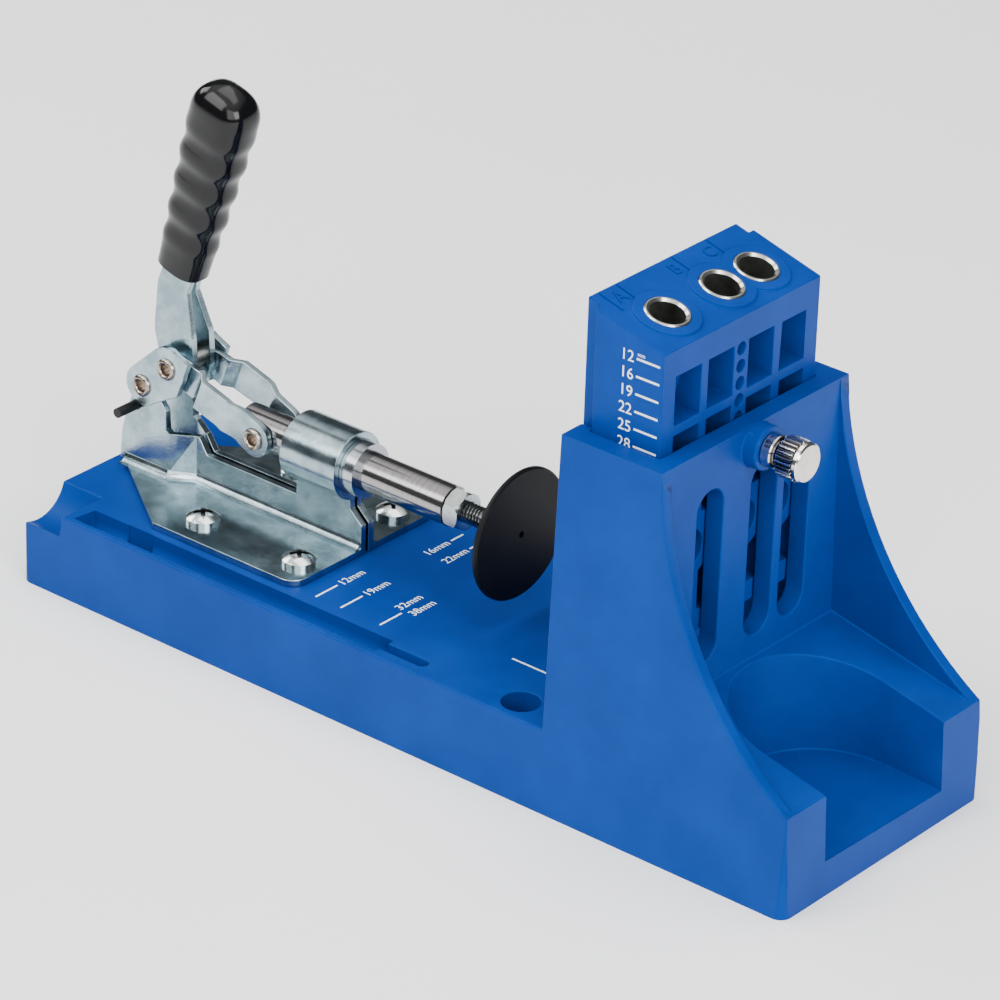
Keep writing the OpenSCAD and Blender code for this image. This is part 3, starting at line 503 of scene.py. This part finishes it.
def thumb_screw():
    lo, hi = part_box("thumb_screw")
    centre = Vector((0, 0, (lo.z + hi.z) / 2))
    tip_x, end_x = lo.x / MM, hi.x / MM
    knob_x = end_x - 7.6
    knob_r = (hi.z - lo.z) / 2 / MM
    root_r = knob_r - 0.65
    teeth = 26
    bm = bmesh.new()
    revolve(bm, [
        (tip_x, 0.0), (tip_x, 1.2), (tip_x + 0.3, 1.4), (tip_x + 3.0, 1.4), (tip_x + 3.0, 2.5),
        (knob_x - 4.4, 2.5), (knob_x - 4.4, 4.3), (knob_x - 4.1, 4.5), (knob_x - 1.7, 4.5),
        (knob_x - 1.4, 4.3), (knob_x - 1.4, 3.6), (knob_x, 3.6), (knob_x, 4.7),
    ], centre, 48)
    rings = [
        knurled_ring(bm, x, tip, root, teeth, centre) for x, tip, root in (
            (knob_x, root_r - 0.5, root_r - 0.5),
            (knob_x + 0.5, root_r, root_r),
            (knob_x + 0.8, knob_r, root_r),
            (end_x - 2.0, knob_r, root_r),
            (end_x - 1.7, root_r, root_r),
            (end_x - 1.4, knob_r - 0.1, knob_r - 0.1),
            (end_x - 0.5, knob_r - 0.2, knob_r - 0.2),
            (end_x - 0.1, knob_r - 0.7, knob_r - 0.7),
            (end_x, knob_r - 1.2, knob_r - 1.2),
        )
    ]
    for near, far in zip(rings, rings[1:]):
        bmesh.ops.bridge_loops(bm, edges=near + far)
    bmesh.ops.edgeloop_fill(bm, edges=rings[0])
    bmesh.ops.edgeloop_fill(bm, edges=rings[-1])
    bmesh.ops.recalc_face_normals(bm, faces=bm.faces)
    obj = shaded_piece(
        "knurled_thumb_screw", bm, NICKEL, "thumb_screw", sharp_deg=25.0,
    )
    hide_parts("thumb_screw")


thumb_screw()


# Printed marks and raised letters

CAP_SHARE = 0.72
INK = 0.03


def plane(origin, x_axis, y_axis):
    """A matrix whose X and Y axes lie in a face of the part; origin in millimetres."""
    x, y = Vector(x_axis).normalized(), Vector(y_axis).normalized()
    matrix = Matrix((x, y, x.cross(y))).transposed().to_4x4()
    matrix.translation = Vector(origin) * MM
    return matrix


def lettering(name, words, height, place, mat, body, align, depth=INK):
    """Words as a thin mesh that lies in the plane of place."""
    curve = bpy.data.curves.new(name, "FONT")
    curve.body = words
    curve.size = height * MM / CAP_SHARE
    curve.align_x = align
    curve.align_y = "CENTER"
    curve.extrude = depth * MM
    curve.resolution_u = 4
    temp = bpy.data.objects.new(name + "_outline", curve)
    bpy.context.scene.collection.objects.link(temp)
    bpy.context.view_layer.update()
    graph = bpy.context.evaluated_depsgraph_get()
    mesh = bpy.data.meshes.new_from_object(temp.evaluated_get(graph))
    bpy.data.objects.remove(temp)
    mesh.transform(place)
    add_piece(name, mesh, mat, body)


def stripes(name, boxes, place, body):
    """Thin printed bars; each box is (x0, y0, x1, y1) in the plane of place."""
    bm = bmesh.new()
    for x0, y0, x1, y1 in boxes:
        middle = Vector(((x0 + x1) / 2, (y0 + y1) / 2, 0)) * MM
        size = Vector((abs(x1 - x0), abs(y1 - y0), 2 * INK)) * MM
        shape = place @ Matrix.Translation(middle) @ Matrix.Diagonal(size).to_4x4()
        bmesh.ops.create_cube(bm, size=1.0, matrix=shape)
    shaded_piece(name, bm, PRINT, body)


DECK_Z = 24.0
DECK_LINE = 0.55
DECK_TEXT = 2.7
NEAR_LINE = (-27.7, -19.0)
FAR_LINE = (20.7, 25.8)


def deck_plane(x, y):
    return plane((x, y, DECK_Z), (0, 1, 0), (-1, 0, 0))


def cross_line(ends, x):
    return (ends[0], -x - DECK_LINE / 2, ends[1], -x + DECK_LINE / 2)


def deck_marks():
    """Setting lines for the pad, their board sizes and the centre line."""
    centre_y = -17.9
    lines = [cross_line(NEAR_LINE, x) for x in (-36.4, -27.6, -13.9)]
    lines += [cross_line(FAR_LINE, x) for x in (-30.6, -24.0)]
    lines.append((centre_y - DECK_LINE / 2, -51.6, centre_y + DECK_LINE / 2, -23.0))
    stripes("deck_lines", lines, deck_plane(0, 0), "base")
    near = [("12mm", -36.4), ("19mm", -27.6), ("32mm", -16.2), ("38mm", -11.6)]
    far = [("16mm", -30.6), ("22mm", -24.0)]
    for marks, y, align in ((near, -18.0, "LEFT"), (far, 19.6, "RIGHT")):
        for words, x in marks:
            lettering(
                "deck_" + words, words, DECK_TEXT, deck_plane(x, y), PRINT,
                "base", align,
            )


def guide_scale():
    """Board sizes down the near side of the guide."""
    face_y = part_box("guide_block")[0].y / MM
    edge_x, top_z, step = 76.9, 131.25, 4.8
    line_l, half_line = 7.2, 0.28
    sizes = ["12", "16", "19", "22", "25", "28", "32", "35", "38"]
    heights = [top_z - step * i for i in range(len(sizes))]

    def side_plane(x, z):
        return plane((x, face_y, z), (1, 0, 0), (0, 0, 1))

    stripes(
        "guide_lines", [(edge_x - line_l, z - half_line, edge_x, z + half_line) for z in heights],
        side_plane(0, 0), "guide",
    )
    for words, z in zip(sizes, heights):
        lettering(
            "guide_" + words, words, 3.1, side_plane(edge_x - 8.0, z), PRINT,
            "guide", "RIGHT",
        )
    lettering(
        "guide_mm", "mm", 1.1, side_plane(edge_x - 7.0, top_z + 1.3), PRINT,
        "guide", "LEFT",
    )


def bush_letters():
    """Raised letters beside the drill bushes on the sloping top of the guide."""
    tilt = math.radians(15)
    back_x, front_x, front_z = 52.2, 78.0, 134.7
    back_z = front_z + (front_x - back_x) * math.tan(tilt)
    down = Vector((math.cos(tilt), 0, -math.sin(tilt)))
    for words, y in (("A", -22.6), ("B", -0.7), ("C", 13.3)):
        spot = Vector((back_x, y, back_z)) + down * 4.6
        lettering(
            "guide_letter_" + words, words, 4.0, plane(spot, (0, 1, 0), -down), GUIDE_BLUE,
            "guide", "CENTER", depth=0.3,
        )


deck_marks()
guide_scale()
bush_letters()


# Floor, light and camera

def pale_floor():
    bm = bmesh.new()
    bmesh.ops.create_grid(bm, x_segments=1, y_segments=1, size=4.0)
    mesh = bpy.data.meshes.new("floor")
    bm.to_mesh(mesh)
    bm.free()
    mesh.materials.append(PALE_FLOOR)
    floor = bpy.data.objects.new("floor", mesh)
    bpy.context.scene.collection.objects.link(floor)


def soft_box(name, place, target, size, power):
    lamp = bpy.data.lights.new(name, "AREA")
    lamp.shape = "RECTANGLE"
    lamp.size, lamp.size_y = size
    lamp.energy = power
    obj = bpy.data.objects.new(name, lamp)
    bpy.context.scene.collection.objects.link(obj)
    obj.location = place
    obj.rotation_mode = "QUATERNION"
    obj.rotation_quaternion = (Vector(target) - Vector(place)).to_track_quat("-Z", "Y")


def studio_world():
    """A dark room under a white ceiling."""
    world = bpy.data.worlds.new("studio")
    bpy.context.scene.world = world
    world.use_nodes = True
    tree = world.node_tree
    tree.nodes.clear()
    out = tree.nodes.new("ShaderNodeOutputWorld")
    back = tree.nodes.new("ShaderNodeBackground")
    back.inputs["Strength"].default_value = 1.6
    coord = tree.nodes.new("ShaderNodeTexCoord")
    split = tree.nodes.new("ShaderNodeSeparateXYZ")
    ramp = tree.nodes.new("ShaderNodeValToRGB")
    ramp.color_ramp.elements[0].position = 0.56
    ramp.color_ramp.elements[0].color = (0.06, 0.065, 0.07, 1.0)
    ramp.color_ramp.elements[1].position = 0.86
    ramp.color_ramp.elements[1].color = (1.0, 1.0, 1.0, 1.0)
    tree.links.new(coord.outputs["Generated"], split.inputs[0])
    tree.links.new(split.outputs["Z"], ramp.inputs["Fac"])
    tree.links.new(ramp.outputs["Color"], back.inputs["Color"])
    tree.links.new(back.outputs[0], out.inputs["Surface"])


def photo_camera():
    azimuth, elevation, roll = math.radians(38.98), math.radians(27.573), 0.034
    back = Vector((
        math.sin(azimuth) * math.cos(elevation),
        -math.cos(azimuth) * math.cos(elevation),
        math.sin(elevation),
    ))
    level = Vector((0, 0, 1)).cross(back).normalized()
    upright = back.cross(level)
    right = math.cos(roll) * level + math.sin(roll) * upright
    up = math.cos(roll) * upright - math.sin(roll) * level
    data = bpy.data.cameras.new("photo_camera")
    data.sensor_width = 36.0
    data.lens = 199.2
    data.clip_start, data.clip_end = 0.1, 20.0
    camera = bpy.data.objects.new("photo_camera", data)
    bpy.context.scene.collection.objects.link(camera)
    matrix = Matrix((right, up, back)).transposed().to_4x4()
    matrix.translation = Vector((0.8074, -0.9945, 0.7243))
    camera.matrix_world = matrix
    bpy.context.scene.camera = camera


pale_floor()
studio_world()
soft_box("key_light", (-0.5, -0.9, 1.1), (0, 0, 0.06), (0.9, 0.9), 15)
soft_box("front_light", (1.3, -0.5, 0.75), (0.05, 0, 0.05), (0.8, 0.8), 22)
soft_box("fill_light", (0.75, -1.2, 0.8), (0.05, 0, 0.05), (1.0, 1.0), 13)
soft_box("top_light", (0.0, 0.2, 1.5), (0, 0, 0), (1.2, 0.8), 9)
soft_box("end_light", (-1.2, -0.1, 0.9), (0, 0, 0.08), (0.6, 0.6), 8)
photo_camera()
